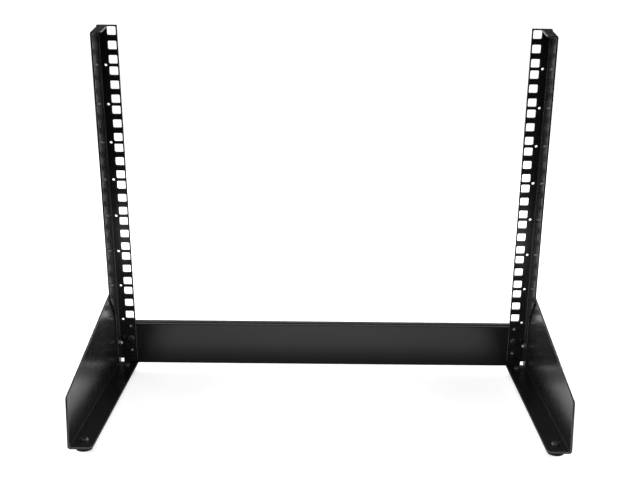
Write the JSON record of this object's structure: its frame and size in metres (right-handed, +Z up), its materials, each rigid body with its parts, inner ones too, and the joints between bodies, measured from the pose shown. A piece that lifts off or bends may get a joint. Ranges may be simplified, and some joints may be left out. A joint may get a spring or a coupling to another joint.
{
  "type": "data rack frame",
  "caption": "Open desktop rack frame: leaning square-hole posts on angle feet with rubber pads, tied together by a low crossbar.",
  "frame": {"origin": "centre of the footprint, at floor level", "axes": "+Z up; +X across the frame from the left post to the right post; +Y out of the faces that equipment ears are screwed to; the feet run towards -Y, under the equipment"},
  "size_m": [0.501, 0.276, 0.4175],
  "materials": {
    "powder_coat": "satin black powder coat",
    "pad_rubber": "matt black rubber",
    "screw_steel": "black oxide steel screws and rivets"
  },
  "bodies": {
    "root": {"left_post": "powder_coat", "right_post": "powder_coat", "crossbar": "powder_coat", "left_foot": "powder_coat", "right_foot": "powder_coat", "left_rear_pad": "pad_rubber", "left_front_pad": "pad_rubber", "right_rear_pad": "pad_rubber", "right_front_pad": "pad_rubber"}
  },
  "joints": []
}
